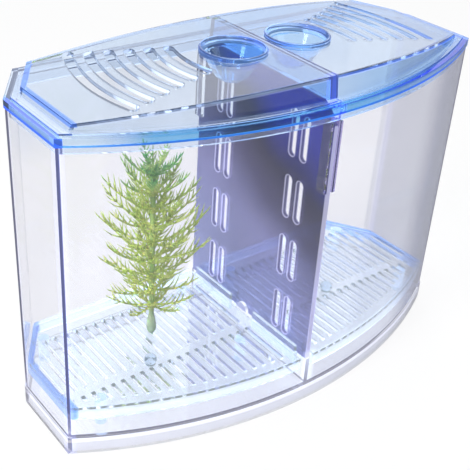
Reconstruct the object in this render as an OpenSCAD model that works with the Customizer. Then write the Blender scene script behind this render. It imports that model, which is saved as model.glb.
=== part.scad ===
// Bow-fronted fish breeding box with two rooms.
// A clear tank stands on a foot band. A slotted divider parts it into two rooms,
// each with a slotted tray above the floor and a domed half lid with a feeding cup.
// The origin is the middle of the foot's outline, on the table, and the front is -Y.

/* [Tank] */
// Length of the box over its foot and lid rims
box_len = 185; // [170:0.5:215]
// Depth of the box from the bow's middle to the back
box_depth = 80.5; // [76:0.5:92]
// Height of the tank wall's top edge
tank_h = 123; // [117:0.5:150]
// How far the front bows out beyond its two corners
bow_rise = 24.9; // [18:0.1:28]
// Length along X of each cut-off back corner
chamfer_x = 13.8; // [8:0.1:20]
// Length along Y of each cut-off back corner
chamfer_y = 21.9; // [14:0.1:26]
// Thickness of the tank wall
tank_wall = 1.8; // [1.2:0.1:2.6]
// Thickness of the tank floor
floor_t = 1.8; // [1.2:0.1:3]
// Height of the foot band below the floor
foot_h = 6; // [3:0.5:9]
// Thickness of the foot band
foot_wall = 2.4; // [1.6:0.1:3.4]
// How far the foot band stands proud of the wall above it
foot_step = 0.4; // [0.2:0.05:0.8]

/* [Divider guides] */
// Thickness of each guide rib
guide_t = 1.4; // [0.8:0.1:2]
// How far the guide ribs reach in from the wall
guide_reach = 4; // [2.5:0.1:5]
// Height of the guide ribs
guide_h = 27; // [10:0.5:60]
// Drop from the tank's top edge to the top of the guide ribs
guide_drop = 3.5; // [3.2:0.1:8]
// Clearance between the divider and each guide rib or clip
guide_gap = 0.3; // [0.2:0.05:0.6]
// Thickness of each floor clip
clip_t = 1.3; // [0.8:0.1:2]
// Radius of the clip's round head
clip_head_r = 3.3; // [2.4:0.1:4.5]
// Width of the clip's neck
clip_neck_w = 5; // [3:0.1:6.5]
// How far the clip's head rises above the divider's lower edge
clip_rise = 4; // [2.5:0.1:6]

/* [Divider] */
// Thickness of the divider plate
divider_t = 1.8; // [1.2:0.1:2.4]
// Height of the divider's lower edge above the floor
divider_lift = 11.2; // [9:0.1:16]
// Gap between the divider's two ends and the tank wall
divider_end_gap = 0.35; // [0.25:0.05:0.8]
// How far the divider stands above the tank's top edge
divider_rise = 1.8; // [0:0.1:2]
// Size of the cut-off top corners of the divider
divider_corner = 7.5; // [7:0.1:12]
// Rows of slots in the divider
divider_rows = 4; // [1:1:4]
// Width of one slot
divider_slot_w = 3.4; // [1.5:0.1:4]
// Height of the bars between the rows of slots
divider_bar_h = 8; // [5:0.1:12]
// Distance between the two slots of a pair
divider_pair_pitch = 6; // [4.5:0.1:8]
// Distance from the divider's middle to the middle of each pair
divider_pair_y = 21.2; // [12:0.1:26]
// Height of the lowest slots above the divider's lower edge
divider_first_slot = 3.9; // [2:0.1:6]
// Distance from the uppermost slots to the divider's top edge
divider_last_slot = 8.7; // [8.5:0.1:14]

/* [Trays] */
// Height of the trays' top face above the floor
tray_lift = 12.2; // [9:0.1:18]
// Thickness of the tray plate
tray_t = 1.8; // [1.2:0.1:2.6]
// Depth of the tray's turned-down skirt
skirt_h = 5.5; // [3:0.1:8]
// Thickness of the tray's skirt
skirt_t = 1.3; // [0.8:0.1:2]
// Clearance between a tray and the tank wall
tray_gap = 0.6; // [0.3:0.05:1]
// Distance between the slots of a tray
tray_slot_pitch = 4.14; // [3.4:0.02:5]
// Width of a slot
tray_slot_w = 1.6; // [1:0.1:2.2]
// Distance from the divider's middle plane to the first slot
tray_first_slot = 8.8; // [7:0.1:12]
// Distance from the tray's outline to the ends of its slots
tray_border = 4.4; // [3:0.1:7]
// Place along Y of the cross bar between the two rows of slots
tray_bar_y = -8.2; // [-14:0.1:8]
// Width of the cross bar
tray_bar_w = 4.1; // [3:0.1:8]
// Place along Y of the back ends of the slots
tray_slot_back = 25.6; // [16:0.1:30]
// Height of the rail beside the divider
rail_h = 2.8; // [1.5:0.1:5]
// Thickness of the rail
rail_t = 1.2; // [0.8:0.1:2]
// Radius of a tray leg
leg_r = 2.2; // [1.5:0.1:3]
// Distance of the legs from the tray's two sides and from its back
leg_inset = 12; // [8:0.5:16]
// Distance of the front legs from the bow's middle
leg_front = 27; // [25:0.5:32]
// Length of the notch that clears the floor clip
clip_notch = 15; // [12:0.1:20]
// Radius of the knob that lifts a tray
knob_r = 2.6; // [1.8:0.1:3.4]
// Distance of the left knob from the divider
left_knob_x = 53; // [30:0.1:70]
// Distance of the right knob from the divider
right_knob_x = 37; // [30:0.1:70]

/* [Lids] */
// Height of the lid's rim band
rim_h = 3; // [2.2:0.1:4.5]
// Width of the rim band seen from above
rim_w = 2.2; // [1.6:0.1:3]
// Rise of the flange above the rim band
flange_step = 0.6; // [0.3:0.1:1.2]
// Thickness of the lid's skin
lid_t = 1.6; // [1.2:0.1:2.2]
// Height of the dome's crown above the rim band
dome_h = 8.4; // [7:0.1:14]
// How much lower the dome is at its two ends than at its crown
dome_drop = 6.2; // [4:0.1:6.4]
// Distance from the lid's front and back edges to the dome's foot
dome_inset = 4.8; // [4.4:0.1:7]
// Distance from the lid's ends to the dome's foot
dome_end_inset = 6; // [5.4:0.1:10]
// How much the dome's front and back walls lean in over its height
dome_lean = 1.2; // [0.5:0.1:3]
// How much the dome's end walls lean in over its height
dome_end_lean = 4.2; // [3.6:0.1:10]
// Depth of the rib that drops inside the tank wall
locate_h = 3; // [2:0.1:3]
// Thickness of the locating rib
locate_t = 1.4; // [1:0.1:2]
// Clearance between the locating rib and the tank wall
lid_gap = 0.35; // [0.2:0.05:0.6]
// Gap between the two half lids
seam_gap = 0.2; // [0.15:0.05:0.6]
// Offset of the seam from the divider's middle plane
seam_x = 1.2; // [1.2:0.1:2]

/* [Vents] */
// Number of curved vents in each lid
vents = 6; // [3:1:6]
// Width of a vent
vent_w = 3.8; // [2:0.1:4.6]
// Distance between the vents
vent_pitch = 6.77; // [5.6:0.01:7.2]
// Radius of the innermost vent's middle line
vent_first_r = 44.2; // [42:0.1:48]
// Distance of the vents' common centre beyond the seam
vent_centre_x = 10; // [4:0.1:14]
// Place along Y of the vents' common centre
vent_centre_y = 1.8; // [-4:0.1:6]
// Angle from the vents' middle to their front ends
vent_front_angle = 13.5; // [8:0.5:16]
// Angle from the middle to the back end of the innermost vent
vent_back_angle = 16.8; // [8:0.1:20]
// Extra angle at the back end of each further vent
vent_back_step = 1.06; // [0:0.02:1.2]
// How far the round ends of a vent stand out beyond its sides
vent_end_step = 0.1; // [0.05:0.05:0.3]

/* [Feeding cups] */
// Radius of the cup's lip
cup_lip_r = 12.2; // [9:0.1:12.6]
// Width of the lip outside the bowl
cup_lip_w = 1.1; // [1:0.1:2]
// How much the bowl narrows on its way through the lid
cup_lean = 0.5; // [0.2:0.1:0.8]
// Thickness of the cup
cup_t = 0.9; // [0.8:0.1:1.4]
// How far the cup's lip stands above the dome's crown
cup_rise = 1.1; // [0.6:0.1:2]
// Depth of the cup below its lip
cup_depth = 10.8; // [8:0.1:16]
// Radius of the cup's flat bottom
cup_bottom_r = 4.2; // [2:0.1:5]
// Distance of each cup's axis from the divider
cup_x = 14.6; // [14.6:0.1:20]
// Place along Y of the cups
cup_y = 1; // [-6:0.1:6]
// Clearance between a cup and its hole
cup_gap = 0.15; // [0.1:0.05:0.4]
// Depth of the flat seat round the cup's hole, below the dome's crown
seat_drop = 0.7; // [0.6:0.05:0.9]

/* [Plant] */
// Which slot the plant's peg stands in, counted from the divider
plant_slot = 8; // [6:1:12]
// Place along Y of the plant
plant_y = 8.4; // [2:0.1:14]
// Radius of the plant's drop-shaped base
plant_base_r = 2; // [1.6:0.1:3]
// Height of the plant's base
plant_base_h = 10.5; // [7:0.1:16]
// Radius of the peg under the base
plant_peg_r = 0.7; // [0.4:0.05:0.75]
// Radius of the stem
stem_r = 1; // [0.7:0.1:1.4]
// Length of the stem above the base
stem_len = 61; // [50:0.5:72]
// Fronds in each whorl
fronds = 6; // [4:1:7]
// Length of a frond in the lowest whorl
frond_low = 17; // [12:0.1:20]
// Length of a frond in the top whorl
frond_top = 14; // [7:0.1:16]
// Extra length of the fronds half way up the stem
frond_swell = 9; // [0:0.1:9]
// Angle of the lowest fronds above level
tilt_low = 24; // [16:1:34]
// Angle of the top fronds above level
tilt_top = 46; // [36:1:54]
// Thickness of a frond
frond_t = 0.8; // [0.5:0.1:1.2]
// Width of a frond's midrib
midrib_w = 1; // [0.7:0.1:1.3]
// Distance between the leaflets along a frond
leaflet_pitch = 3.2; // [2.6:0.1:4.5]
// Reach of the longest leaflets to each side
leaflet_reach = 6; // [2.5:0.1:7]
// Reach of the shortest leaflets
leaflet_least = 0.8; // [0.6:0.1:1.2]
// Height of the hub that carries a whorl
hub_h = 2.4; // [2:0.1:3]
// Wall of the hub
hub_wall = 0.9; // [0.7:0.1:1.2]
// Height of the lowest hub above the plant's base
first_hub = 1.5; // [0.5:0.1:3]

/* [Hidden] */

$fn = 48;
// Facets shown on the long bow and on the dome's crown
bow_fn = 240;
// Overlap that makes two solids of one piece join
bite = 0.5;
// Reach of a cut beyond the solid that it cuts
over = 1;
// Small drop that lets the dome and the flange share a volume
slice_join = 0.2;
// Thickness of the two slices that a leaning solid is spanned between
hull_slice = 0.01;

half_len = box_len / 2;
y_front = -box_depth / 2;
y_back = box_depth / 2;
// The bow is one arc through both front corners and the middle of the front
bow_r = (half_len * half_len + bow_rise * bow_rise) / (2 * bow_rise);
bow_cy = y_front + bow_r;
// Outward direction of the cut-off back corner, and its distance from the origin
chamfer_len = sqrt(chamfer_x * chamfer_x + chamfer_y * chamfer_y);
chamfer_nx = chamfer_y / chamfer_len;
chamfer_ny = chamfer_x / chamfer_len;
chamfer_c = chamfer_nx * half_len + chamfer_ny * (y_back - chamfer_y);

// Distances from the outline to the faces of the tank, trays and lid
wall_out = foot_step;
wall_in = foot_step + tank_wall;
tray_out = wall_in + tray_gap;
locate_out = wall_in + lid_gap;
locate_in = locate_out + locate_t;

floor_z = foot_h + floor_t;
tray_z = floor_z + tray_lift;
divider_z0 = floor_z + divider_lift;
divider_z1 = tank_h + divider_rise;
// The rows of slots share the divider's height
divider_row_pitch = (divider_z1 - divider_z0 - divider_first_slot - divider_last_slot
    + divider_bar_h) / divider_rows;
divider_slot_h = divider_row_pitch - divider_bar_h;
guide_x0 = divider_t / 2 + guide_gap;
guide_z1 = tank_h - guide_drop;
clip_x0 = divider_t / 2 + guide_gap;
rim_z = tank_h + rim_h;
flange_z = rim_z + flange_step;
flange_under = flange_z - lid_t;
crown_z = rim_z + dome_h;
// The crown is an arc along X that falls by dome_drop where the dome ends
dome_half = half_len - dome_end_inset;
crown_r = (dome_half * dome_half + dome_drop * dome_drop) / (2 * dome_drop);
// The seam wall ends just above the divider's top edge
seam_wall_z = divider_z1 + guide_gap * 2;

// Height of the seat, and radius of the cup where it passes the seat
seat_z = crown_z - seat_drop;
cup_seat_r = cup_lip_r - cup_lip_w;
// Two rounds of the bowl, as shares of its seat radius and of its depth
cup_low = [0.54, 0.88];
cup_mid = [0.775, 0.5];
// Bevel at the lip's upper edge
lip_edge = 0.4;

// Neck and ball of the knobs
knob_neck_r = knob_r * 0.75;
knob_neck_h = knob_r * 0.5;
knob_ball_r = knob_r * 0.9;
knob_ball_z = knob_r * 0.8;

// Inner edge of a tray, and the notch that clears the guide ribs
tray_x0 = divider_t / 2 + guide_gap * 2;
guide_notch_x = guide_x0 + guide_t + guide_gap * 2;
guide_notch_y = guide_reach + guide_gap * 2;
clip_notch_x = clip_x0 + clip_t + guide_gap * 2;
tray_end = half_len - tray_out;
tray_slots = floor((tray_end - tray_slot_w - tray_first_slot) / tray_slot_pitch) + 1;
leg_xs = [tray_x0 + leg_inset, tray_end - leg_inset];
leg_ys = [y_front + leg_front, y_back - leg_inset];

plant_x = -(tray_first_slot + plant_slot * tray_slot_pitch);
stem_z0 = tray_z + plant_base_h;
// Whorls on the stem, each a node of its own
whorls = 9;
whorl_z0 = stem_z0 + first_hub;
whorl_step = (stem_len - first_hub - hub_h) / (whorls - 1);
// Clearance between the stem and a hub's bore
hub_gap = 0.05;
hub_r = stem_r + hub_gap + hub_wall;
// Gap between the leaflets of neighbouring fronds
leaflet_gap = 0.3;
// A leaflet's tip lies this much of its reach further out than its root
leaflet_sweep = 0.9;
// Width of a leaflet's root, as a share of the distance between leaflets
leaflet_root = 0.4;
// Place of the first leaflet on the curve along which they grow and shrink
leaflet_start = 0.8;
// Rounds of the plant's base, as shares of its radius and of its height
base_rounds = [[0.55, 0], [0.9, 0.12], [1, 0.3], [0.86, 0.52]];
// Share of its height where the base has narrowed to the stem
base_neck = 0.85;

// Corner points of the outline's straight sides, moved in by end, cut, and back
function side_points(end, cut, back) = let (
    x1 = half_len - end,
    y1 = (chamfer_c - cut - chamfer_nx * x1) / chamfer_ny,
    y2 = y_back - back,
    x2 = (chamfer_c - cut - chamfer_ny * y2) / chamfer_nx,
    y0 = y_front - over
) [[-x1, y0], [x1, y0], [x1, y1], [x2, y2], [-x2, y2], [-x1, y1]];

// The box's outline, moved in by d, from z0 to z1
module prism(d, z0, z1) {
    intersection() {
        translate([0, bow_cy, z0]) cylinder(r = bow_r - d, h = z1 - z0, $fn = bow_fn);
        translate([0, 0, z0]) linear_extrude(z1 - z0) polygon(side_points(d, d, d));
    }
}

// Everything on one side of the plane at x, where side is -1 or 1
module side_of(x, side) {
    reach = box_len;
    translate([x + (side < 0 ? -reach : 0), -reach / 2, -over])
        cube([reach, reach, tank_h * 2]);
}

// A round-ended slot in the YZ plane, through x
module upright_slot(y, z, w, h, depth) {
    translate([-depth / 2, y - w / 2, z + w / 2]) cube([depth, w, h - w]);
    for (end_z = [z + w / 2, z + h - w / 2])
        translate([-depth / 2, y, end_z]) rotate([0, 90, 0]) cylinder(d = w, h = depth);
}

// Ribs that guide the divider's edge, on the wall at y_wall, reaching in by dir
module guide_pair(y_wall, dir) {
    for (side = [-1, 1])
        translate([side > 0 ? guide_x0 : -guide_x0 - guide_t,
                   dir > 0 ? y_wall - bite : y_wall - guide_reach,
                   guide_z1 - guide_h])
            cube([guide_t, guide_reach + bite, guide_h]);
}

// Round-headed clips that hold the divider's lower edge
module floor_clips() {
    for (side = [-1, 1])
        translate([side > 0 ? clip_x0 : -clip_x0 - clip_t, cup_y, 0]) {
            translate([0, -clip_neck_w / 2, floor_z - bite])
                cube([clip_t, clip_neck_w, divider_lift + clip_rise - clip_head_r + bite]);
            translate([0, 0, divider_z0 + clip_rise - clip_head_r])
                rotate([0, 90, 0]) cylinder(r = clip_head_r, h = clip_t);
        }
}

// The rib on the floor that the divider stands on
module floor_rib() {
    rib_len = box_depth - 2 * wall_in + 2 * bite;
    translate([-divider_t / 2, -rib_len / 2, floor_z - bite])
        cube([divider_t, rib_len, divider_lift + bite]);
}

module tank_shell() {
    color([0.9, 0.93, 0.98, 0.5]) {
        difference() {
            union() {
                prism(0, 0, floor_z);
                prism(wall_out, foot_h, tank_h);
            }
            prism(wall_in, floor_z, tank_h + over);
            prism(foot_wall, -over, foot_h);
        }
        guide_pair(y_front + wall_in, 1);
        guide_pair(y_back - wall_in, -1);
        floor_clips();
        floor_rib();
    }
}

// Plate with its two top corners cut off
module divider_plate() {
    half_w = box_depth / 2 - wall_in - divider_end_gap;
    translate([-divider_t / 2, 0, 0]) rotate([90, 0, 90]) linear_extrude(divider_t) polygon([
        [-half_w, divider_z0],
        [half_w, divider_z0],
        [half_w, divider_z1 - divider_corner],
        [half_w - divider_corner, divider_z1],
        [divider_corner - half_w, divider_z1],
        [-half_w, divider_z1 - divider_corner]
    ]);
}

module divider() {
    color([0.2, 0.18, 0.5, 0.85]) difference() {
        divider_plate();
        for (row = [0 : divider_rows - 1], pair = [-1, 1], twin = [-1, 1])
            upright_slot(pair * divider_pair_y + twin * divider_pair_pitch / 2,
                divider_z0 + divider_first_slot + row * divider_row_pitch,
                divider_slot_w, divider_slot_h, divider_t + 2 * over);
    }
}

// Two rows of slots parted by the cross bar, kept inside the tray's border
module tray_slot_cuts() {
    bar_front = tray_bar_y - tray_bar_w / 2;
    bar_back = tray_bar_y + tray_bar_w / 2;
    intersection() {
        union() {
            for (i = [0 : tray_slots - 1]) {
                x = tray_first_slot + i * tray_slot_pitch - tray_slot_w / 2;
                translate([x, y_front, tray_z - tray_t - over])
                    cube([tray_slot_w, bar_front - y_front, tray_t + 2 * over]);
                translate([x, bar_back, tray_z - tray_t - over])
                    cube([tray_slot_w, tray_slot_back - bar_back, tray_t + 2 * over]);
            }
        }
        intersection() {
            translate([0, bow_cy, 0])
                cylinder(r = bow_r - tray_out - tray_border, h = tank_h, $fn = bow_fn);
            linear_extrude(tank_h) polygon(side_points(tray_out, tray_out + tray_border, 0));
        }
    }
}

// The right tray; the left one is its mirror image
module tray() {
    difference() {
        union() {
            intersection() {
                difference() {
                    prism(tray_out, tray_z - skirt_h, tray_z);
                    intersection() {
                        prism(tray_out + skirt_t, tray_z - skirt_h - over, tray_z - tray_t);
                        side_of(tray_x0 + skirt_t, 1);
                    }
                }
                side_of(tray_x0, 1);
            }
            translate([tray_x0, y_front + tray_out + guide_notch_y, tray_z - bite])
                cube([rail_t, box_depth - 2 * (tray_out + guide_notch_y), rail_h + bite]);
            for (x = leg_xs, y = leg_ys)
                translate([x, y, floor_z]) cylinder(r = leg_r, h = tray_lift - tray_t / 2);
        }
        tray_slot_cuts();
        for (y = [y_front, y_back - wall_in - guide_notch_y])
            translate([-over, y, 0])
                cube([guide_notch_x + over, wall_in + guide_notch_y, tank_h]);
        translate([-over, cup_y - clip_notch / 2, 0])
            cube([clip_notch_x + over, clip_notch, tank_h]);
    }
}

// Knob on the cross bar, a ball on a short neck
module knob(x) {
    translate([x, tray_bar_y, tray_z]) rotate_extrude() intersection() {
        union() {
            square([knob_neck_r, knob_neck_h]);
            translate([0, knob_ball_z]) circle(r = knob_ball_r);
        }
        square([knob_r, knob_r * 2]);
    }
}

module left_tray() {
    color([0.72, 0.84, 0.97, 0.7]) mirror([1, 0, 0]) tray();
}

module right_tray() {
    color([0.72, 0.84, 0.97, 0.7]) tray();
}

module left_tray_knob() {
    color([0.85, 0.93, 1, 0.7]) knob(-left_knob_x);
}

module right_tray_knob() {
    color([0.85, 0.93, 1, 0.7]) knob(right_knob_x);
}

// The dome's form, shrunk by t on every side, with its foot at foot_z
module dome_form(t, foot_z) {
    top_z = crown_z + over;
    rise = top_z - flange_z;
    lean = dome_lean * rise / dome_h;
    end_lean = dome_end_lean * rise / dome_h;
    inset = dome_inset + t;
    end_inset = dome_end_inset + t;
    intersection() {
        translate([0, bow_cy, foot_z])
            cylinder(r1 = bow_r - inset, r2 = bow_r - inset - lean, h = top_z - foot_z, $fn = bow_fn);
        hull() {
            translate([0, 0, foot_z])
                linear_extrude(hull_slice) polygon(side_points(end_inset, inset, inset));
            translate([0, 0, top_z])
                linear_extrude(hull_slice)
                    polygon(side_points(end_inset + end_lean, inset + lean, inset + lean));
        }
        translate([0, 0, crown_z - crown_r]) rotate([90, 0, 0])
            cylinder(r = crown_r - t, h = box_len, center = true, $fn = bow_fn * 3);
    }
}

// One vent: an arc about the vents' common centre with round ends, for the left lid
module vent(i) {
    r = vent_first_r + i * vent_pitch;
    back = vent_back_angle + i * vent_back_step;
    span = vent_front_angle + back;
    translate([vent_centre_x, vent_centre_y, flange_under]) rotate([0, 0, 180 - back]) {
        rotate_extrude(angle = span, $fn = bow_fn) translate([r - vent_w / 2, 0])
            square([vent_w, dome_h + lid_t + over]);
        for (a = [0, span])
            rotate([0, 0, a]) translate([r, 0, 0])
                cylinder(d = vent_w + 2 * vent_end_step, h = dome_h + lid_t + over);
    }
}

// Flat seat for the cup's lip and the hole that its bowl passes through
module cup_hole() {
    drop = lid_t * 2;
    slope = cup_lean / lid_t;
    translate([-cup_x, cup_y, seat_z]) {
        cylinder(r = cup_lip_r + cup_gap, h = seat_drop + over);
        translate([0, 0, -drop])
            cylinder(
                r1 = cup_seat_r + cup_gap - slope * drop,
                r2 = cup_seat_r + cup_gap + slope * seat_drop / 2,
                h = drop + seat_drop / 2
            );
    }
}

// Both halves of the lid in one, before the seam is cut
module lid_skin() {
    difference() {
        union() {
            prism(0, tank_h, rim_z);
            prism(rim_w, tank_h, flange_z);
            prism(locate_out, tank_h - locate_h, flange_z);
            dome_form(0, flange_z - slice_join);
        }
        prism(locate_in, tank_h - locate_h - over, flange_under);
        dome_form(lid_t, flange_under - slice_join);
    }
}

// Wall that closes a half lid at the seam
module seam_wall(x) {
    intersection() {
        dome_form(lid_t / 2, flange_under);
        translate([x, y_front, seam_wall_z]) cube([lid_t, box_depth, crown_z]);
    }
}

// Half a lid, where side is -1 for the left and 1 for the right
module half_lid(side) {
    edge = seam_x + side * seam_gap / 2;
    difference() {
        union() {
            intersection() {
                lid_skin();
                side_of(edge, side);
            }
            seam_wall(side < 0 ? edge - lid_t : edge);
        }
        on_side(side) {
            for (i = [0 : vents - 1]) vent(i);
            cup_hole();
        }
    }
}

// What is drawn for the left, kept there or mirrored to the right
module on_side(side) {
    if (side < 0) children();
    else mirror([1, 0, 0]) children();
}

// Feeding cup, a bowl with a narrow outward lip
module feeding_cup(x) {
    neck_r = cup_seat_r - cup_lean;
    lip_top = seat_drop + cup_rise;
    translate([x, cup_y, seat_z]) rotate_extrude() difference() {
        polygon([
            [0, -cup_depth],
            [cup_bottom_r, -cup_depth],
            [cup_seat_r * cup_low[0], -cup_depth * cup_low[1]],
            [cup_seat_r * cup_mid[0], -cup_depth * cup_mid[1]],
            [neck_r, -lid_t],
            [cup_seat_r, 0],
            [cup_lip_r, 0],
            [cup_lip_r, lip_top - lip_edge],
            [cup_lip_r - lip_edge, lip_top],
            [0, lip_top]
        ]);
        polygon([
            [-over, cup_t - cup_depth],
            [cup_bottom_r - lip_edge, cup_t - cup_depth],
            [cup_seat_r * cup_low[0] - cup_t, cup_t / 2 - cup_depth * cup_low[1]],
            [cup_seat_r * cup_mid[0] - cup_t, -cup_depth * cup_mid[1]],
            [neck_r - cup_t, -lid_t],
            [cup_lip_r - cup_t, lip_top],
            [cup_lip_r - cup_t, lip_top + over],
            [-over, lip_top + over]
        ]);
    }
}

module left_lid() {
    color([0.66, 0.8, 0.98, 0.6]) half_lid(-1);
}

module right_lid() {
    color([0.66, 0.8, 0.98, 0.6]) half_lid(1);
}

module left_feeding_cup() {
    color([0.6, 0.78, 0.98, 0.6]) feeding_cup(-cup_x);
}

module right_feeding_cup() {
    color([0.6, 0.78, 0.98, 0.6]) feeding_cup(cup_x);
}

// Drop-shaped base with a peg that stands in a slot of the tray
module plant_base() {
    color([0.42, 0.56, 0.42]) translate([plant_x, plant_y, 0]) {
        translate([0, 0, tray_z - tray_t]) cylinder(r = plant_peg_r, h = tray_t + bite);
        translate([0, 0, tray_z]) rotate_extrude() polygon([
            [0, 0],
            for (p = base_rounds) [plant_base_r * p[0], plant_base_h * p[1]],
            [stem_r, plant_base_h * base_neck],
            [stem_r, plant_base_h],
            [0, plant_base_h]
        ]);
    }
}

module plant_stem() {
    color([0.36, 0.6, 0.2]) translate([plant_x, plant_y, stem_z0])
        cylinder(r = stem_r, h = stem_len);
}

// Place of whorl i on the stem, from 0 at the foot to 1 at the top
function share_of(i) = i / (whorls - 1);

function frond_len(i) = frond_low + (frond_top - frond_low) * share_of(i)
    + frond_swell * sin(180 * share_of(i));

function tilt_of(i) = tilt_low + (tilt_top - tilt_low) * share_of(i);

// Half the room beside a frond at distance x, kept clear of the next frond's leaflets
function room_at(x, tilt) = let (share = cos(tilt) * tan(180 / fronds))
    (x * share - leaflet_gap) / (1 - leaflet_sweep * share);

// Reach of leaflet j of count
function reach_of(j, count) = leaflet_least + (leaflet_reach - leaflet_least)
    * sin(180 * (j + leaflet_start) / (count + leaflet_start));

// The leaflets on one side of a frond along +X, from x0 on, where side is -1 or 1
function leaflets(len, x0, tilt, side) = let (
    count = ceil((len - x0) / leaflet_pitch),
    root = side * midrib_w / 2
) [
    for (j = [0 : count - 1]) let (
        x = x0 + (len - x0 - leaflet_least * 2) * j / count,
        reach = min(reach_of(j, count), room_at(x, tilt))
    ) each [
        [x, root],
        [x + reach * leaflet_sweep, side * max(reach, midrib_w * 0.6)],
        [x + leaflet_pitch * leaflet_root, root]
    ]
];

function reversed(list) = [for (k = [len(list) - 1 : -1 : 0]) list[k]];

// A feathery frond on the X axis, from inside the hub's wall to its tip at len
module frond(len, tilt) {
    frond_x0 = (hub_r - hub_wall / 2) / cos(tilt);
    leaflet_x0 = (hub_r + midrib_w / 2) / cos(tilt);
    linear_extrude(frond_t, center = true) polygon(concat(
        [[frond_x0, -midrib_w / 2]],
        leaflets(len, leaflet_x0, tilt, -1),
        [[len, 0]],
        reversed(leaflets(len, leaflet_x0, tilt, 1)),
        [[frond_x0, midrib_w / 2]]
    ));
}

// A hub on the stem with fronds that lean up and out, numbered from the bottom
module leaf_whorl(i) {
    tilt = tilt_of(i);
    color([0.55 - 0.02 * i, 0.76 - 0.015 * i, 0.22])
        translate([plant_x, plant_y, whorl_z0 + i * whorl_step]) {
            difference() {
                cylinder(r = hub_r, h = hub_h);
                translate([0, 0, -over]) cylinder(r = stem_r + hub_gap, h = hub_h + 2 * over);
            }
            for (k = [0 : fronds - 1])
                rotate([0, 0, (k + i / 2) * 360 / fronds])
                    translate([0, 0, hub_h / 2 - hub_r * tan(tilt)])
                        rotate([0, -tilt, 0]) frond(frond_len(i), tilt);
        }
}

tank_shell();
divider();
left_tray();
left_tray_knob();
right_tray();
right_tray_knob();
left_lid();
left_feeding_cup();
right_lid();
right_feeding_cup();
plant_base();
plant_stem();
leaf_whorl(0);  // leaf_whorl_1
leaf_whorl(1);  // leaf_whorl_2
leaf_whorl(2);  // leaf_whorl_3
leaf_whorl(3);  // leaf_whorl_4
leaf_whorl(4);  // leaf_whorl_5
leaf_whorl(5);  // leaf_whorl_6
leaf_whorl(6);  // leaf_whorl_7
leaf_whorl(7);  // leaf_whorl_8
leaf_whorl(8);  // leaf_whorl_9
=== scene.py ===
import math
import random

import bmesh
import bpy
from mathutils import Matrix, Vector


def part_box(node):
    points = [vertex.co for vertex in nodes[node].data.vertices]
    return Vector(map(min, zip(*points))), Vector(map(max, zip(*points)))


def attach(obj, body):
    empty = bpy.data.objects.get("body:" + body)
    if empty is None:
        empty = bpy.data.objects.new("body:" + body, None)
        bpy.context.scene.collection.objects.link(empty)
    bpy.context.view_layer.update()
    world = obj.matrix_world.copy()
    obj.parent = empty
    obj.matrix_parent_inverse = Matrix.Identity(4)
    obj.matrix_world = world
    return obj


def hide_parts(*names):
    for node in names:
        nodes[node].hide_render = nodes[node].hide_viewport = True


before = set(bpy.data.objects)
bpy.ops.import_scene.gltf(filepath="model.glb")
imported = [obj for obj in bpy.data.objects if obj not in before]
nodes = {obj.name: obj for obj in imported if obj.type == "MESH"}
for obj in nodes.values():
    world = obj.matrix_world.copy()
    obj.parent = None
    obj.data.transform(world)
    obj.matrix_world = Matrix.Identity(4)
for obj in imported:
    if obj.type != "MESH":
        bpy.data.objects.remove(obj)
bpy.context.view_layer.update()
scene = bpy.context.scene


# Shared finishes

def new_group(name, inputs, outputs):
    """A shader node group with named sockets, its input node and its output node."""
    group = bpy.data.node_groups.new(name, "ShaderNodeTree")
    for label, kind, value in inputs:
        socket = group.interface.new_socket(label, in_out="INPUT", socket_type=kind)
        socket.default_value = value
    for label, kind in outputs:
        group.interface.new_socket(label, in_out="OUTPUT", socket_type=kind)
    return group, group.nodes.new("NodeGroupInput"), group.nodes.new("NodeGroupOutput")


def moulded_surface_group():
    """Soft ripples, faint wear and the slow flow marks that moulded plastic shows."""
    group, entry, leave = new_group(
        "moulded_surface",
        [("Ripple Scale", "NodeSocketFloat", 60), ("Wear Scale", "NodeSocketFloat", 400),
         ("Flow Scale", "NodeSocketFloat", 14),
         ("Roughness Low", "NodeSocketFloat", 0.02), ("Roughness High", "NodeSocketFloat", 0.06)],
        [("Roughness", "NodeSocketFloat"), ("Height", "NodeSocketFloat"), ("Flow", "NodeSocketFloat")])
    add, link = group.nodes.new, group.links.new
    place = add("ShaderNodeTexCoord")
    noises = {}
    for label, detail in (("Ripple", 1), ("Wear", 4), ("Flow", 2)):
        noise = add("ShaderNodeTexNoise")
        noise.inputs["Detail"].default_value = detail
        link(place.outputs["Object"], noise.inputs["Vector"])
        link(entry.outputs[label + " Scale"], noise.inputs["Scale"])
        noises[label] = noise
    spread = add("ShaderNodeMapRange")
    spread.inputs["From Min"].default_value = 0.35
    spread.inputs["From Max"].default_value = 0.75
    link(noises["Wear"].outputs["Fac"], spread.inputs["Value"])
    link(entry.outputs["Roughness Low"], spread.inputs["To Min"])
    link(entry.outputs["Roughness High"], spread.inputs["To Max"])
    marks = add("ShaderNodeMapRange")
    marks.inputs["From Min"].default_value = 0.3
    marks.inputs["From Max"].default_value = 0.7
    link(noises["Flow"].outputs["Fac"], marks.inputs["Value"])
    link(spread.outputs["Result"], leave.inputs["Roughness"])
    link(noises["Ripple"].outputs["Fac"], leave.inputs["Height"])
    link(marks.outputs["Result"], leave.inputs["Flow"])
    return group


moulded_surface = moulded_surface_group()


def start_material(name):
    """A material with its Principled shader and an adder and a linker for its nodes."""
    material = bpy.data.materials.new(name)
    material.use_nodes = True
    tree = material.node_tree
    return material, tree.nodes["Principled BSDF"], tree.nodes.new, tree.links.new


def output_of(material):
    return next(n for n in material.node_tree.nodes if n.type == "OUTPUT_MATERIAL")


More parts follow.
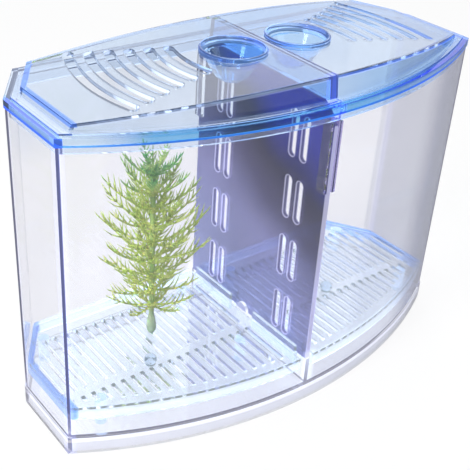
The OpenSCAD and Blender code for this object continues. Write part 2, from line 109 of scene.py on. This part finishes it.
def place_surface(add, link, shader, ripple_scale, low, high, bump):
    """Puts the moulded surface group into a material and returns its flow marks."""
    surface = add("ShaderNodeGroup")
    surface.node_tree = moulded_surface
    surface.inputs["Ripple Scale"].default_value = ripple_scale
    surface.inputs["Roughness Low"].default_value = low
    surface.inputs["Roughness High"].default_value = high
    relief = add("ShaderNodeBump")
    relief.inputs["Strength"].default_value = bump
    relief.inputs["Distance"].default_value = 0.001
    link(surface.outputs["Roughness"], shader.inputs["Roughness"])
    link(surface.outputs["Height"], relief.inputs["Height"])
    link(relief.outputs["Normal"], shader.inputs["Normal"])
    return surface.outputs["Flow"]


def part_place(add, link):
    """The X, Y and Z of the point that is shaded, in the box's own frame."""
    place = add("ShaderNodeTexCoord")
    parts = add("ShaderNodeSeparateXYZ")
    link(place.outputs["Object"], parts.inputs["Vector"])
    return parts.outputs["X"], parts.outputs["Y"], parts.outputs["Z"]


def calc(add, link, operation, *values):
    """One Math node over numbers and sockets."""
    node = add("ShaderNodeMath")
    node.operation = operation
    for slot, value in enumerate(values):
        if isinstance(value, (int, float)):
            node.inputs[slot].default_value = value
        else:
            link(value, node.inputs[slot])
    return node.outputs["Value"]


def rise_between(add, link, value, start, end):
    """Nothing up to start, one from end on, with a soft step between them."""
    step = add("ShaderNodeMapRange")
    step.interpolation_type = "SMOOTHSTEP"
    step.inputs["From Min"].default_value = start
    step.inputs["From Max"].default_value = end
    link(value, step.inputs["Value"])
    return step.outputs["Result"]


def band_between(add, link, value, start, end, soft=0.0003):
    """One from start to end, with a soft step inside each of them, and nothing elsewhere."""
    rise = rise_between(add, link, value, start, start + soft)
    fall = rise_between(add, link, value, end - soft, end)
    return calc(add, link, "MULTIPLY", rise, calc(add, link, "SUBTRACT", 1, fall))


def blend(add, link, share, first, second):
    """A colour from first to second; each is a fixed colour or another node's colour."""
    mix = add("ShaderNodeMix")
    mix.data_type = "RGBA"
    link(share, mix.inputs["Factor"])
    for label, colour in (("A", first), ("B", second)):
        if isinstance(colour, tuple):
            mix.inputs[label].default_value = (*colour, 1)
        else:
            link(colour, mix.inputs[label])
    return mix.outputs["Result"]


def let_light_through(add, link, shader, share):
    """Lets that share of the light pass a clear plastic instead of casting a solid shadow."""
    path = add("ShaderNodeLightPath")
    fade = calc(add, link, "MULTIPLY_ADD", path.outputs["Is Shadow Ray"], -share, 1)
    link(fade, shader.inputs["Alpha"])


def clear_plastic(name, tints, depth_colour, density, glow, light=0.85):
    """See-through plastic, deeper in colour along its edges, with a faint painted glow that stands in for the light its
    edges carry.

    Its two tints lie side by side in slow flow marks."""
    material, shader, add, link = start_material(name)
    shader.inputs["Emission Color"].default_value = (*glow, 1)
    shader.inputs["Emission Strength"].default_value = 1
    shader.inputs["Transmission Weight"].default_value = 1
    shader.inputs["IOR"].default_value = 1.45
    flow = place_surface(add, link, shader, 45, 0.015, 0.05, 0.02)
    tint = blend(add, link, flow, *tints)
    link(tint, shader.inputs["Base Color"])
    let_light_through(add, link, shader, light)
    depth = add("ShaderNodeVolumeAbsorption")
    depth.inputs["Color"].default_value = (*depth_colour, 1)
    depth.inputs["Density"].default_value = density
    link(depth.outputs["Volume"], output_of(material).inputs["Volume"])
    return material, shader, add, link, tint


# The box's plastics

# Painted glow: the faint light each plastic is given as emission, which adds up along its edges and stands in for the
# light those edges carry
TANK_GLOW = (0.0126, 0.013, 0.02)
LID_GLOW = (0.0135, 0.018, 0.029)
TRAY_GLOW = (0.045, 0.05, 0.045)
CUP_GLOW = (0.02, 0.035, 0.065)
DIVIDER_GLOW = (0.001, 0.0015, 0.006)


def bow_reach(add, link, x, y, low):
    """Distance from the centre of the bow's arc, and the arc's radius."""
    bow_rise = 0.0249
    bow_r = (low.x ** 2 + bow_rise ** 2) / (2 * bow_rise)
    ahead = calc(add, link, "ADD", y, -(low.y + bow_r))
    squares = calc(add, link, "MULTIPLY_ADD", x, x, calc(add, link, "MULTIPLY", ahead, ahead))
    return calc(add, link, "SQRT", squares), bow_r


def tank_plastic_of():
    """Nearly colourless, greyed towards the right end by painted shade, with violet-grey corner lines and a light foot
    step that are painted glow.
    """
    material, shader, add, link, tint = clear_plastic(
        "clear_tank_plastic", ((0.955, 0.95, 0.955), (0.94, 0.94, 0.95)), (0.45, 0.46, 0.75), 12, TANK_GLOW)
    x, y, z = part_place(add, link)
    low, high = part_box("tank_shell")
    foot_h, floor_z = 0.006, 0.0078
    reach, bow_r = bow_reach(add, link, x, y, low)
    span = calc(add, link, "ABSOLUTE", x)
    in_front = rise_between(add, link, reach, bow_r - 0.003, bow_r - 0.0024)
    # Painted shade: the right part of the front wall and the right end wall are greyed
    front_right = calc(add, link, "MULTIPLY", in_front, rise_between(add, link, x, 0.05, 0.075))
    right_end = rise_between(add, link, x, -low.x - 0.003, -low.x - 0.0024)
    painted_right_shade = calc(add, link, "MAXIMUM", front_right, right_end)
    wall = blend(add, link, painted_right_shade, tint, (0.6, 0.61, 0.67))
    top_back = calc(add, link, "MULTIPLY", rise_between(add, link, z, 0.085, 0.105),
                    rise_between(add, link, y, high.y - 0.004, high.y - 0.0035))
    wall = blend(add, link, top_back, wall, (0.78, 0.82, 0.88))
    near_middle = calc(add, link, "SUBTRACT", 1, rise_between(add, link, span, 0.0028, 0.003))
    inside = calc(add, link, "SUBTRACT", 1, calc(add, link, "MAXIMUM", in_front, rise_between(add, link, y, -0.005, 0)))
    guides = calc(add, link, "MULTIPLY", calc(add, link, "MULTIPLY", near_middle, inside),
                  band_between(add, link, z, 0.092, 0.12))
    wall = blend(add, link, guides, wall, (0.14, 0.11, 0.38))
    floor = band_between(add, link, z, foot_h - 0.0004, floor_z + 0.0004)
    wall = blend(add, link, floor, wall, (0.86, 0.88, 0.92))
    foot = calc(add, link, "SUBTRACT", 1, rise_between(add, link, z, foot_h - 0.0004, foot_h - 0.0002))
    link(blend(add, link, foot, wall, (0.76, 0.77, 0.82)), shader.inputs["Base Color"])
    # Painted light from here on: emission paints a faint glow into the foot, the middle rib and its clips, the corner
    # lines and the chamfer's start, and a painted highlight along the foot step, brightest on its outer edge
    glow = blend(add, link, foot, TANK_GLOW, (0.03, 0.03, 0.04))
    rib_and_clips = calc(add, link, "MULTIPLY", near_middle, band_between(add, link, z, floor_z, 0.0236))
    glow = blend(add, link, rib_and_clips, glow, (0.1, 0.11, 0.14))
    at_end = rise_between(add, link, span, -low.x - 0.003, -low.x - 0.0024)
    in_corner = calc(add, link, "MULTIPLY", at_end, in_front)
    corner_glow = blend(add, link, rise_between(add, link, x, -0.01, 0.01), (0.055, 0.065, 0.19), (0.03, 0.032, 0.06))
    glow = blend(add, link, in_corner, glow, corner_glow)
    chamfer_y = 0.0219
    cut_start = band_between(add, link, y, high.y - chamfer_y - 0.002, high.y - chamfer_y + 0.002)
    glow = blend(add, link, calc(add, link, "MULTIPLY", cut_start, at_end), glow, (0.06, 0.06, 0.1))
    at_step = band_between(add, link, z, foot_h - 0.0008, foot_h + 0.0008)
    glow = blend(add, link, at_step, glow, (0.08, 0.08, 0.1))
    outer_step = calc(add, link, "MULTIPLY", at_step, calc(add, link, "MAXIMUM", at_end, in_front))
    glow = blend(add, link, outer_step, glow, (0.23, 0.23, 0.3))
    link(glow, shader.inputs["Emission Color"])
    return material


def lid_plastic_of():
    """Pale grey-blue tops, deeper walls, a striped rim band and royal blue end edges, with painted glow along its edges
    and a painted highlight on its brow.
    """
    material, shader, add, link, tint = clear_plastic(
        "blue_lid_plastic", ((0.66, 0.685, 0.7), (0.63, 0.67, 0.695)), (0.12, 0.42, 0.85), 30, LID_GLOW)
    x, y, z = part_place(add, link)
    low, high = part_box("left_lid")
    half_len, rim_low, rim_top, crown = -low.x, high.z - 0.0114, high.z - 0.0084, high.z
    crown_fall = 0.0062 / 0.0865 ** 2
    chamfer_x, chamfer_y = 0.0138, 0.0219
    across = Vector((chamfer_y, chamfer_x)).normalized()
    chamfer_at = across.x * half_len + across.y * (high.y - chamfer_y)
    span = calc(add, link, "ABSOLUTE", x)
    level = calc(add, link, "MULTIPLY_ADD", calc(add, link, "MULTIPLY", x, x), crown_fall, z)
    reach, bow_r = bow_reach(add, link, x, y, low)
    corner = calc(add, link, "MULTIPLY_ADD", span, across.x, calc(add, link, "MULTIPLY", y, across.y))

    top = rise_between(add, link, level, crown - 0.0016, crown - 0.0005)
    right = rise_between(add, link, x, -0.04, 0.03)
    wall = blend(add, link, right, (0.74, 0.82, 0.9), (0.42, 0.62, 0.86))
    colour = blend(add, link, top, wall, tint)
    in_plate = band_between(add, link, level, crown - 0.0015, crown - 0.0002)
    cup_x, cup_y, seat_r = 0.0146, 0.001, 0.0136
    from_cup_x = calc(add, link, "SUBTRACT", span, cup_x)
    from_cup_y = calc(add, link, "SUBTRACT", y, cup_y)
    from_cup = calc(add, link, "MULTIPLY_ADD", from_cup_x, from_cup_x, calc(add, link, "MULTIPLY", from_cup_y, from_cup_y))
    round_cup = calc(add, link, "LESS_THAN", from_cup, seat_r ** 2)
    cut_wall = blend(add, link, round_cup, (0.5, 0.56, 0.66), (0.85, 0.9, 0.97))
    colour = blend(add, link, in_plate, colour, cut_wall)

    high_edge = rise_between(add, link, z, rim_top + 0.0011, rim_top + 0.0015)
    end = calc(add, link, "MULTIPLY", rise_between(add, link, span, half_len - 0.0086, half_len - 0.0082), high_edge)
    colour = blend(add, link, end, colour, (0.1, 0.22, 0.7))
    cut_off = calc(add, link, "MULTIPLY",
                   rise_between(add, link, corner, chamfer_at - 0.0072, chamfer_at - 0.0068), high_edge)
    colour = blend(add, link, cut_off, colour, (0.12, 0.28, 0.7))

    in_front = rise_between(add, link, reach, bow_r - 0.0024, bow_r - 0.0021)
    at_end = rise_between(add, link, span, half_len - 0.0024, half_len - 0.0021)
    rim_height = band_between(add, link, z, rim_low - 0.0003, rim_top + 0.0005, 0.0002)
    stripe = band_between(add, link, z, rim_low + 0.0009, rim_low + 0.0025)
    cyan = blend(add, link, stripe, (0.03, 0.26, 0.64), (0.09, 0.38, 0.72))
    royal = blend(add, link, stripe, (0.02, 0.12, 0.8), (0.35, 0.6, 0.95))
    front = blend(add, link, rise_between(add, link, x, -0.088, -0.065), (0.8, 0.92, 0.97), cyan)
    front = blend(add, link, rise_between(add, link, x, 0.005, 0.05), front, royal)
    rim_share = rise_between(add, link, z, rim_low + 0.0006, rim_top)
    left_side = blend(add, link, rim_share, (0.03, 0.14, 0.85), (0.3, 0.62, 0.95))
    side = blend(add, link, rise_between(add, link, x, -0.01, 0.01), left_side, (0.4, 0.6, 0.8))
    rim = blend(add, link, at_end, front, side)
    band = calc(add, link, "MULTIPLY", calc(add, link, "MAXIMUM", in_front, at_end), rim_height)
    link(blend(add, link, band, colour, rim), shader.inputs["Base Color"])

    # Painted light from here on: emission paints a glow into the plate's cut walls, a painted highlight along the front
    # brow of the top, and blue glow along the end edges, the rim's foot line and corners and the seam's end
    brow = calc(add, link, "MULTIPLY", in_plate, rise_between(add, link, reach, bow_r - 0.0066, bow_r - 0.0062))
    at_seam = calc(add, link, "SUBTRACT", 1, rise_between(add, link, span, 0.002, 0.0024))
    seam_end = calc(add, link, "MULTIPLY", at_seam, rise_between(add, link, reach, bow_r - 0.009, bow_r - 0.008))
    glow = blend(add, link, in_plate, LID_GLOW, (0.15, 0.18, 0.23))
    brow_glow = blend(add, link, rise_between(add, link, x, -0.01, 0.01), (0.14, 0.17, 0.24), (0.03, 0.1, 0.5))
    glow = blend(add, link, brow, glow, brow_glow)
    edges = calc(add, link, "MAXIMUM", end, cut_off)
    edge_glow = blend(add, link, rise_between(add, link, x, -0.01, 0.01), (0.03, 0.08, 0.3), (0.02, 0.07, 0.16))
    glow = blend(add, link, edges, glow, edge_glow)
    foot_line = calc(add, link, "SUBTRACT", 1, rise_between(add, link, z, rim_low + 0.0006, rim_low + 0.001))
    above_rib = rise_between(add, link, z, rim_low - 0.0004, rim_low - 0.0002)
    foot_line = calc(add, link, "MULTIPLY", foot_line, above_rib)
    glow = blend(add, link, calc(add, link, "MULTIPLY", foot_line, in_front), glow, (0.02, 0.08, 0.2))
    rim_corner = calc(add, link, "MULTIPLY", calc(add, link, "MULTIPLY", in_front, at_end), rim_height)
    end_line = calc(add, link, "MAXIMUM", rim_corner, calc(add, link, "MULTIPLY", foot_line, at_end))
    end_glow = blend(add, link, rise_between(add, link, x, -0.01, 0.01), (0.03, 0.09, 0.46), (0.02, 0.06, 0.16))
    glow = blend(add, link, end_line, glow, end_glow)
    link(blend(add, link, seam_end, glow, (0.02, 0.04, 0.28)), shader.inputs["Emission Color"])
    return material


tank_plastic = tank_plastic_of()
lid_plastic = lid_plastic_of()
# The knob's clear plastic carries the same faint painted glow as the others
knob_plastic = clear_plastic(
    "clear_knob_plastic", ((0.95, 0.98, 1.0), (0.9, 0.95, 0.99)), (0.3, 0.62, 0.95), 45, (0.02, 0.03, 0.04))[0]


def cup_plastic_of():
    """Pale blue, cyan at the bottom of the bowl and violet-blue round the lip."""
    material, shader, add, link, tint = clear_plastic(
        "blue_cup_plastic", ((0.66, 0.84, 0.98), (0.57, 0.79, 0.97)), (0.3, 0.5, 0.92), 45, CUP_GLOW)
    x, y, z = part_place(add, link)
    low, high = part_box("left_feeding_cup")
    bottom = rise_between(add, link, z, low.z + 0.001, low.z + 0.006)
    colour = blend(add, link, bottom, (0.3, 0.62, 0.94), tint)
    by_seam = calc(add, link, "MULTIPLY", rise_between(add, link, x, -0.017, -0.007), calc(add, link, "LESS_THAN", x, 0))
    colour = blend(add, link, by_seam, colour, (0.3, 0.58, 0.94))
    lip = rise_between(add, link, z, high.z - 0.0019, high.z - 0.0016)
    aside = calc(add, link, "ABSOLUTE", calc(add, link, "SUBTRACT", calc(add, link, "ABSOLUTE", x), abs(low.x + high.x) / 2))
    at_sides = rise_between(add, link, aside, 0.006, 0.0105)
    lip_colour = blend(add, link, at_sides, (0.66, 0.77, 0.95), (0.3, 0.42, 0.88))
    link(blend(add, link, lip, colour, lip_colour), shader.inputs["Base Color"])
    return material


def tray_plastic_of():
    """Pale blue, with deeper blue outer ends, and feet made light by a painted glow."""
    material, shader, add, link, tint = clear_plastic(
        "pale_tray_plastic", ((0.85, 0.9, 0.945), (0.82, 0.88, 0.935)), (0.35, 0.62, 0.92), 35, TRAY_GLOW)
    x, y, z = part_place(add, link)
    low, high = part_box("left_tray")
    rail_h = 0.0028
    top = high.z - rail_h
    span = calc(add, link, "ABSOLUTE", x)
    chamfer_x, chamfer_y = 0.0138, 0.0219
    across = Vector((chamfer_y, chamfer_x)).normalized()
    tray_gap = 0.0028
    chamfer_at = across.x * (-low.x + tray_gap) + across.y * (high.y + tray_gap - chamfer_y) - tray_gap
    corner = calc(add, link, "MULTIPLY_ADD", span, across.x, calc(add, link, "MULTIPLY", y, across.y))
    outer = calc(add, link, "MAXIMUM", rise_between(add, link, span, -low.x - 0.0024, -low.x - 0.0018),
                 rise_between(add, link, corner, chamfer_at - 0.0024, chamfer_at - 0.0018))
    reach, bow_r = bow_reach(add, link, x, y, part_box("tank_shell")[0])
    among_slots = calc(add, link, "SUBTRACT", 1, rise_between(add, link, reach, bow_r - 0.0052, bow_r - 0.0048))
    among_slots = calc(add, link, "MULTIPLY", among_slots, band_between(add, link, span, 0.004, -low.x - 0.003))
    slot_wall = calc(add, link, "MULTIPLY", among_slots, band_between(add, link, z, top - 0.0017, top - 0.0001, 0.0001))
    colour = blend(add, link, slot_wall, tint, (0.66, 0.72, 0.82))
    link(blend(add, link, outer, colour, (0.1, 0.28, 0.74)), shader.inputs["Base Color"])
    # Painted light: everything below the plate, feet included, is given a stronger glow
    under = calc(add, link, "SUBTRACT", 1, rise_between(add, link, z, top - 0.0025, top - 0.002))
    link(blend(add, link, under, TRAY_GLOW, (0.16, 0.19, 0.24)), shader.inputs["Emission Color"])
    return material


cup_plastic = cup_plastic_of()
tray_plastic = tray_plastic_of()


def slot_distance(add, link, y, z, low, high):
    """How far a point of the divider lies outside the nearest slot's outline, seen from the side."""
    pair_y, half_pitch, slot_w = 0.0212, 0.003, 0.0034
    rows, first_slot, last_slot, bar_h = 4, 0.0039, 0.0087, 0.008
    pitch = (high.z - low.z - first_slot - last_slot + bar_h) / rows
    slot_h = pitch - bar_h
    first_bar = low.z + first_slot - bar_h / 2
    across = calc(add, link, "SUBTRACT", calc(add, link, "ABSOLUTE", y), pair_y)
    across = calc(add, link, "SUBTRACT", calc(add, link, "ABSOLUTE", across), half_pitch)
    along = calc(add, link, "FLOORED_MODULO", calc(add, link, "SUBTRACT", z, first_bar), pitch)
    along = calc(add, link, "ABSOLUTE", calc(add, link, "SUBTRACT", along, pitch / 2))
    beyond = calc(add, link, "MAXIMUM", calc(add, link, "SUBTRACT", along, (slot_h - slot_w) / 2), 0)
    squares = calc(add, link, "MULTIPLY_ADD", across, across, calc(add, link, "MULTIPLY", beyond, beyond))
    return calc(add, link, "SUBTRACT", calc(add, link, "SQRT", squares), slot_w / 2)


def divider_plastic_of():
    """Violet plastic, painted lavender at its foot as a reflection of the lit trays and navy to near black towards its
    top and front as shade, in blotches; its slot outlines and front edge are bright with painted highlights.
    """
    material, shader, add, link, tint = clear_plastic(
        "violet_divider_plastic", ((0.3, 0.3, 0.62), (0.25, 0.26, 0.55)), (0.2, 0.2, 0.5), 60, DIVIDER_GLOW)
    shader.inputs["Transmission Weight"].default_value = 0.8
    shader.inputs["IOR"].default_value = 1.16
    x, y, z = part_place(add, link)
    # Painted shade and reflection: a lavender-to-navy ramp by height, shifted by blotchy noise and darker towards the
    # front
    place = add("ShaderNodeTexCoord")
    shade_blotches = add("ShaderNodeTexNoise")
    shade_blotches.inputs["Scale"].default_value = 24
    shade_blotches.inputs["Detail"].default_value = 1
    link(place.outputs["Object"], shade_blotches.inputs["Vector"])
    height = add("ShaderNodeMapRange")
    height.inputs["From Min"].default_value = 0.02
    height.inputs["From Max"].default_value = 0.125
    link(z, height.inputs["Value"])
    sway = calc(add, link, "MULTIPLY_ADD", shade_blotches.outputs["Fac"], 0.3, -0.15)
    ramp = add("ShaderNodeValToRGB")
    steps = ramp.color_ramp
    steps.elements[0].position = 0.0
    steps.elements[0].color = (0.36, 0.4, 0.64, 1)
    steps.elements[1].position = 0.95
    steps.elements[1].color = (0.003, 0.005, 0.14, 1)
    for position, colour in ((0.35, (0.28, 0.285, 0.5, 1)), (0.6, (0.075, 0.07, 0.15, 1)), (0.8, (0.006, 0.006, 0.03, 1))):
        step = steps.elements.new(position)
        step.color = colour
    towards_front = calc(add, link, "MULTIPLY_ADD", y, -5, 0.02)
    shade_height = calc(add, link, "ADD", height.outputs["Result"], calc(add, link, "ADD", sway, towards_front))
    link(shade_height, ramp.inputs["Fac"])
    link(ramp.outputs["Color"], shader.inputs["Base Color"])
    low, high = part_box("divider")
    span = calc(add, link, "ABSOLUTE", x)
    slot_edge = slot_distance(add, link, y, z, low, high)
    below_top = calc(add, link, "LESS_THAN", z, high.z - 0.006)
    outline = calc(add, link, "MULTIPLY", band_between(add, link, slot_edge, -0.0001, 0.00045, 0.0001), below_top)
    in_slot = calc(add, link, "SUBTRACT", 1, rise_between(add, link, span, high.x - 0.0003, high.x - 0.0002))
    at_front = calc(add, link, "SUBTRACT", 1, rise_between(add, link, y, low.y + 0.0003, low.y + 0.0006))
    # Painted light from here on: a navy glow high up, a faint glow over all but its ends, and painted highlights along
    # the slot outlines and the front edge
    glow = blend(add, link, rise_between(add, link, shade_height, 0.75, 1.0), DIVIDER_GLOW, (0.004, 0.01, 0.14))
    glow = blend(add, link, in_slot, glow, (0.04, 0.04, 0.1))
    rim_of_slot = calc(add, link, "MULTIPLY", outline, rise_between(add, link, span, high.x - 0.0004, high.x - 0.0003))
    glow = blend(add, link, rim_of_slot, glow, (0.34, 0.34, 0.46))
    link(blend(add, link, at_front, glow, (0.4, 0.4, 0.55)), shader.inputs["Emission Color"])
    return material


divider_plastic = divider_plastic_of()


def plant_plastic(name, low_colour, high_colour, fleck_highlight_colour, low_z, high_z, roughness):
    """Soft moulded greenery: one green at the foot, another towards the top, with paler flecks that are painted
    highlights on the leaves.
    """
    material, shader, add, link = start_material(name)
    x, y, z = part_place(add, link)
    greens = blend(add, link, rise_between(add, link, z, low_z, high_z), low_colour, high_colour)
    place = add("ShaderNodeTexCoord")
    # Paler flecks over the greens: on the leaves these are painted highlights
    fleck_highlights = add("ShaderNodeTexNoise")
    fleck_highlights.inputs["Scale"].default_value = 160
    fleck_highlights.inputs["Detail"].default_value = 2
    link(place.outputs["Object"], fleck_highlights.inputs["Vector"])
    share = add("ShaderNodeMapRange")
    share.inputs["From Min"].default_value = 0.42
    share.inputs["From Max"].default_value = 0.72
    share.inputs["To Max"].default_value = 0.8
    link(fleck_highlights.outputs["Fac"], share.inputs["Value"])
    link(blend(add, link, share.outputs["Result"], greens, fleck_highlight_colour), shader.inputs["Base Color"])
    place_surface(add, link, shader, 300, roughness, roughness + 0.12, 0.15)
    shader.inputs["Subsurface Weight"].default_value = 0.25
    shader.inputs["Subsurface Scale"].default_value = 0.002
    shader.inputs["Subsurface Radius"].default_value = (0.4, 1.0, 0.2)
    return material


leaf_plastic = plant_plastic("leaf_plastic", (0.42, 0.54, 0.07), (0.04, 0.3, 0.09), (0.66, 0.76, 0.22), 0.08, 0.098, 0.4)
stem_plastic = plant_plastic("stem_plastic", (0.33, 0.47, 0.13), (0.03, 0.16, 0.05), (0.4, 0.55, 0.2), 0.074, 0.094, 0.4)
base_plastic = plant_plastic("plant_base_plastic", (0.27, 0.40, 0.24), (0.33, 0.47, 0.20), (0.4, 0.52, 0.35), 0.022, 0.031, 0.35)


def dress(names, material):
    for name in names:
        nodes[name].data.materials.clear()
        nodes[name].data.materials.append(material)


dress(["tank_shell"], tank_plastic)
dress(["left_lid", "right_lid"], lid_plastic)
dress(["left_feeding_cup", "right_feeding_cup"], cup_plastic)
dress(["left_tray", "right_tray"], tray_plastic)
dress(["left_tray_knob", "right_tray_knob"], knob_plastic)
dress(["divider"], divider_plastic)
dress(["plant_base"], base_plastic)
dress(["plant_stem"], stem_plastic)


# The plant's fronds

WHORLS = sum(name.startswith("leaf_whorl_") for name in nodes)
FRONDS = 6
SIDE_NEEDLES = 6


def slim_cone(mesh, start, heading, span, wide, slim):
    """One closed five-sided cone from start along heading."""
    turn = Vector((0, 0, 1)).rotation_difference(heading).to_matrix().to_4x4()
    place = Matrix.Translation(start + heading * span / 2) @ turn
    bmesh.ops.create_cone(mesh, cap_ends=True, segments=5, radius1=wide, radius2=slim, depth=span, matrix=place)


def needle(mesh, root, heading, length, width):
    """A thin soft needle that bends up towards its tip."""
    elbow = root + heading * length * 0.5
    upward = (heading + Vector((0, 0, 0.4))).normalized()
    slim_cone(mesh, root, heading, length * 0.53, width, width * 0.8)
    slim_cone(mesh, elbow, upward, length * 0.52, width * 0.8, width * 0.15)


def feathery_frond(mesh, hub, turn, tilt, length, chance):
    """A midrib that curves up, with needles on both sides that stand apart and grow towards its middle."""
    rib = hub.copy()
    steps = SIDE_NEEDLES + 1
    span = length / steps
    for step in range(steps):
        share = step / (steps - 1)
        lean = tilt + math.radians(-16 + 32 * share)
        ahead = Vector((math.cos(lean) * math.cos(turn), math.cos(lean) * math.sin(turn), math.sin(lean)))
        aside = Vector((-math.sin(turn), math.cos(turn), 0))
        above = ahead.cross(aside)
        width = 0.00048 - 0.0002 * share
        slim_cone(mesh, rib, ahead, span * 1.08, width, width - 0.00003)
        if step:
            reach = length * (0.2 + 0.15 * math.sin(math.pi * min(1, share * 0.8 + 0.18)))
            for side in (-1, 1):
                spread = math.radians(chance.uniform(30, 52))
                roll = math.radians(chance.uniform(-10, 50))
                outward = aside * side * math.cos(roll) + above * math.sin(roll)
                heading = (ahead * math.cos(spread) + outward * math.sin(spread)).normalized()
                needle(mesh, rib, heading, reach * chance.uniform(0.85, 1.2), 0.00032)
        rib += ahead * span
    needle(mesh, rib, ahead, length * 0.14, 0.00028)


def make_whorl(number, chance):
    """Long fronds as wide and high as the CAD whorl, with short steep ones between them."""
    low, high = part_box(f"leaf_whorl_{number}")
    stem_low, stem_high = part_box("plant_stem")
    centre = (stem_low + stem_high) / 2
    hub = Vector((centre.x, centre.y, low.z + 0.0012))
    reach = max(high.x - low.x, high.y - low.y) / 2
    length = math.hypot(reach, high.z - hub.z)
    tilt = math.atan2(high.z - hub.z, reach)
    mesh = bmesh.new()
    bmesh.ops.create_cone(mesh, cap_ends=True, segments=12, radius1=0.0017, radius2=0.0013, depth=0.0022,
                          matrix=Matrix.Translation(hub))
    for frond in range(FRONDS):
        turn = 2 * math.pi * (frond + number * 0.5) / FRONDS + chance.uniform(-0.2, 0.2)
        bend = tilt + math.radians(chance.uniform(-7, 7))
        out = Vector((math.cos(turn), math.sin(turn), 0)) * 0.0009
        feathery_frond(mesh, hub + out, turn, bend, length * chance.uniform(0.86, 0.98), chance)
        if frond % 2:
            between = turn + math.pi / FRONDS
            feathery_frond(mesh, hub, between, bend + 0.3, length * chance.uniform(0.5, 0.6), chance)
    name = f"feathery_whorl_{number}"
    data = bpy.data.meshes.new(name)
    mesh.to_mesh(data)
    mesh.free()
    data.shade_smooth()
    data.materials.append(leaf_plastic)
    whorl = bpy.data.objects.new(name, data)
    scene.collection.objects.link(whorl)
    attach(whorl, "plant")
    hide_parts(f"leaf_whorl_{number}")
    return whorl


chance = random.Random(12)
for number in range(1, WHORLS + 1):
    make_whorl(number, chance)


# Stage, light and camera

def white_floor():
    mesh = bmesh.new()
    bmesh.ops.create_grid(mesh, x_segments=1, y_segments=1, size=4)
    data = bpy.data.meshes.new("white_floor")
    mesh.to_mesh(data)
    mesh.free()
    floor = bpy.data.objects.new("white_floor", data)
    scene.collection.objects.link(floor)
    material, shader, add, link = start_material("white_floor_paper")
    shader.inputs["Base Color"].default_value = (0.9, 0.9, 0.9, 1)
    shader.inputs["Roughness"].default_value = 0.9
    path = add("ShaderNodeLightPath")
    direct, glossy, through = (path.outputs[f"Is {kind} Ray"] for kind in ("Camera", "Glossy", "Transmission"))
    mirrored = calc(add, link, "GREATER_THAN", calc(add, link, "SUBTRACT", glossy, through), 0.5)
    share = calc(add, link, "MULTIPLY_ADD", through, 0.52, calc(add, link, "MULTIPLY", direct, 0.85))
    share = calc(add, link, "MAXIMUM", share, calc(add, link, "MULTIPLY", mirrored, 0.9))
    glow = add("ShaderNodeEmission")
    link(calc(add, link, "MULTIPLY_ADD", mirrored, -0.75, 1), glow.inputs["Strength"])
    mix = add("ShaderNodeMixShader")
    link(share, mix.inputs["Fac"])
    link(shader.outputs["BSDF"], mix.inputs[1])
    link(glow.outputs["Emission"], mix.inputs[2])
    link(mix.outputs["Shader"], output_of(material).inputs["Surface"])
    data.materials.append(material)
    return floor


def soft_world():
    """White where the camera looks; for the plastic, a soft grey room with a bright wall behind the box."""
    world = bpy.data.worlds.new("soft_room")
    world.use_nodes = True
    scene.world = world
    add, link = world.node_tree.nodes.new, world.node_tree.links.new
    sky = world.node_tree.nodes["Background"]
    output = next(n for n in world.node_tree.nodes if n.type == "OUTPUT_WORLD")
    place = add("ShaderNodeTexCoord")
    parts = add("ShaderNodeSeparateXYZ")
    link(place.outputs["Generated"], parts.inputs["Vector"])
    room = blend(add, link, rise_between(add, link, parts.outputs["Z"], -0.2, 0.9), (0.40, 0.41, 0.45), (0.85, 0.86, 0.88))
    facing = add("ShaderNodeVectorMath")
    facing.operation = "DOT_PRODUCT"
    facing.inputs[1].default_value = (0.543, 0.659, 0.52)
    link(place.outputs["Generated"], facing.inputs[0])
    window = rise_between(add, link, facing.outputs["Value"], 0.7, 0.92)
    link(room, sky.inputs["Color"])
    link(calc(add, link, "MULTIPLY_ADD", window, 1.9, 0.5), sky.inputs["Strength"])
    white = add("ShaderNodeBackground")
    white.inputs["Color"].default_value = (1, 1, 1, 1)
    path = add("ShaderNodeLightPath")
    mix = add("ShaderNodeMixShader")
    link(path.outputs["Is Camera Ray"], mix.inputs["Fac"])
    link(sky.outputs["Background"], mix.inputs[1])
    link(white.outputs["Background"], mix.inputs[2])
    link(mix.outputs["Shader"], output.inputs["Surface"])


def soft_lamp(name, place, aim, size, watts, colour=(1, 1, 1)):
    data = bpy.data.lights.new(name, "AREA")
    data.shape = "RECTANGLE"
    data.size, data.size_y = size
    data.energy = watts
    data.color = colour
    lamp = bpy.data.objects.new(name, data)
    scene.collection.objects.link(lamp)
    lamp.location = place
    lamp.visible_glossy = False
    lamp.rotation_euler = (Vector(aim) - Vector(place)).to_track_quat("-Z", "Y").to_euler()
    return lamp


def photo_camera():
    """The photo's own camera, found from the box's straight edges in it."""
    azimuth, elevation, roll = (math.radians(a) for a in (-39.493, 31.308, 3.995))
    scale = 1.07e-3
    back = Vector((math.sin(azimuth) * math.cos(elevation), -math.cos(azimuth) * math.cos(elevation), math.sin(elevation)))
    right = Vector((math.cos(azimuth), math.sin(azimuth), 0))
    up = back.cross(right)
    side = math.cos(roll) * right + math.sin(roll) * up
    top = -math.sin(roll) * right + math.cos(roll) * up
    data = bpy.data.cameras.new("photo_camera")
    data.sensor_width = 36
    data.lens = 919.195 / 470 * 36
    data.clip_start, data.clip_end = 0.02, 20
    camera = bpy.data.objects.new("photo_camera", data)
    scene.collection.objects.link(camera)
    place = (366.732 * back - 4.636 * side + 44.921 * top) * scale + Vector((0, -0.00225, 0))
    camera.matrix_world = Matrix.Translation(place) @ Matrix((side, top, back)).transposed().to_4x4()
    scene.camera = camera
    return camera


white_floor()
soft_world()
soft_lamp("key_lamp", (-0.75, -0.1, 0.6), (0, 0, 0.05), (0.22, 0.22), 7)
soft_lamp("fill_lamp", (0.5, -0.6, 0.6), (0, 0, 0.05), (0.5, 0.5), 2)
photo_camera()
scene.view_settings.view_transform = "Standard"
